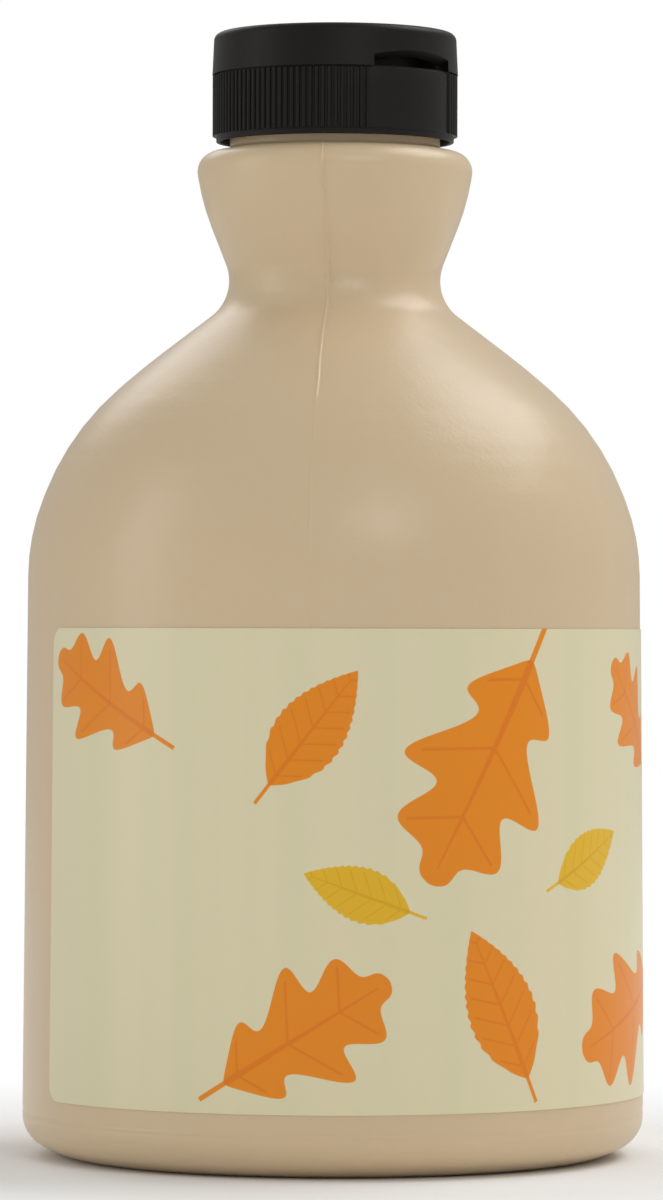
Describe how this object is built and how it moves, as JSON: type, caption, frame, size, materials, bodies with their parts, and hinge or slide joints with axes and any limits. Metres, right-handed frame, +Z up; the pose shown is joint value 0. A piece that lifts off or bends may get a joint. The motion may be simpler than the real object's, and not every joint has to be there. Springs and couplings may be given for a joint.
{
  "type": "maple syrup jug",
  "caption": "Round plastic syrup jug with a domed shoulder, waisted neck, ribbed flip-top closure and wrap-round label, shut and full, standing on a flat ring.",
  "frame": {"origin": "centre of the ring that the jug stands on, at the level of the surface under it", "axes": "+Z up the jug's axis, +X towards the front of the label, +Y and -Y through the two mould parting lines"},
  "size_m": [0.1031, 0.1032, 0.1861],
  "materials": {
    "jug_plastic": "tan blow-moulded polyethylene, satin with a fine pebble and soft sheen",
    "label_film": "pale cream printed film with plain orange and yellow leaf shapes, satin",
    "closure_plastic": "black injection-moulded polypropylene, satin"
  },
  "bodies": {
    "root": {"jug": "jug_plastic", "label": "label_film", "closure_base": "closure_plastic", "closure_lid": "closure_plastic"}
  },
  "joints": []
}
